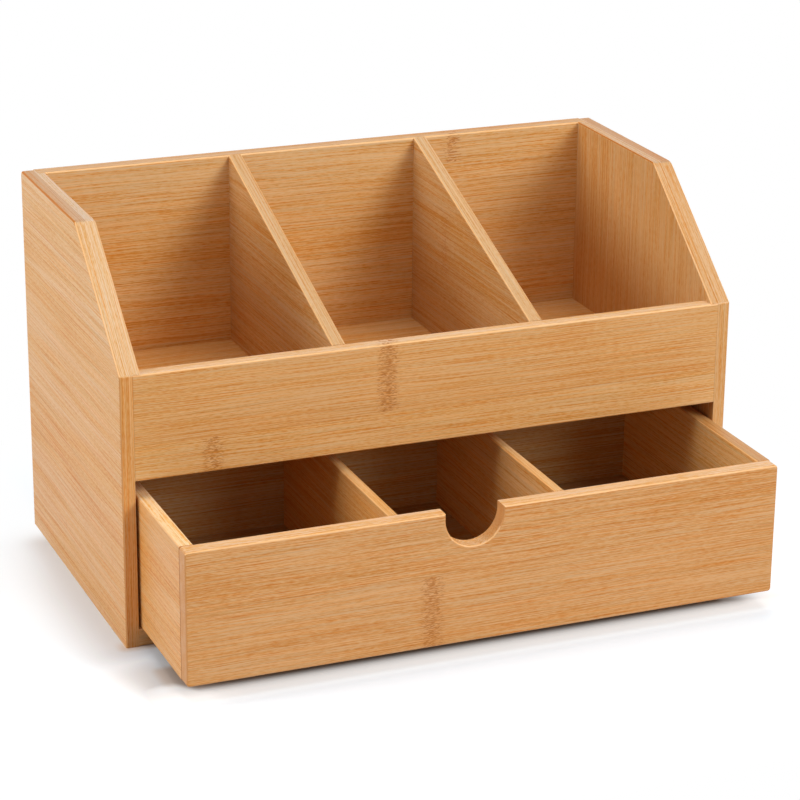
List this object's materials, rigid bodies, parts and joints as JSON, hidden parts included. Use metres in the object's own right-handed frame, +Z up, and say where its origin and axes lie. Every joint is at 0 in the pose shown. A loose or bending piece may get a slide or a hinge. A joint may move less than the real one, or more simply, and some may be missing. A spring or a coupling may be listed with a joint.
{
  "type": "tea bag drawer box",
  "caption": "Bamboo tabletop organiser with a sloping open tray of divided bays above a full-width sliding drawer that has its own dividers and a finger notch.",
  "frame": {"origin": "middle of the case's underside, on the surface it stands on", "axes": "+Z up, +X to the right seen from the front, the front and the drawer face -Y"},
  "size_m": [0.32, 0.238, 0.194],
  "materials": {
    "bamboo_case": "clear matt lacquer on laminated bamboo, grain along each board",
    "bamboo_drawer": "clear matt lacquer on laminated bamboo, grain along each board",
    "bamboo_panel": "thin sanded bamboo panel",
    "dowel_wood": "plain turned hardwood dowels"
  },
  "bodies": {
    "case": {"side_left": "bamboo_case", "side_right": "bamboo_case", "front_rail": "bamboo_case", "back_board": "bamboo_case", "shelf": "bamboo_case", "floor_board": "bamboo_case", "upper_divider_left": "bamboo_case", "upper_divider_right": "bamboo_case", "rail_dowels": "dowel_wood", "shelf_dowels": "dowel_wood", "floor_dowels": "dowel_wood", "back_dowels": "dowel_wood"},
    "drawer": {"drawer_front": "bamboo_drawer", "drawer_side_left": "bamboo_drawer", "drawer_side_right": "bamboo_drawer", "drawer_back": "bamboo_drawer", "drawer_bottom": "bamboo_panel", "drawer_divider_left": "bamboo_drawer", "drawer_divider_right": "bamboo_drawer", "drawer_front_dowels": "dowel_wood"}
  },
  "joints": [
    {"name": "drawer_slide", "type": "slide", "parent": "case", "child": "drawer", "axis": [0, -1, 0], "range_m": [-0.07, 0.05]}
  ]
}
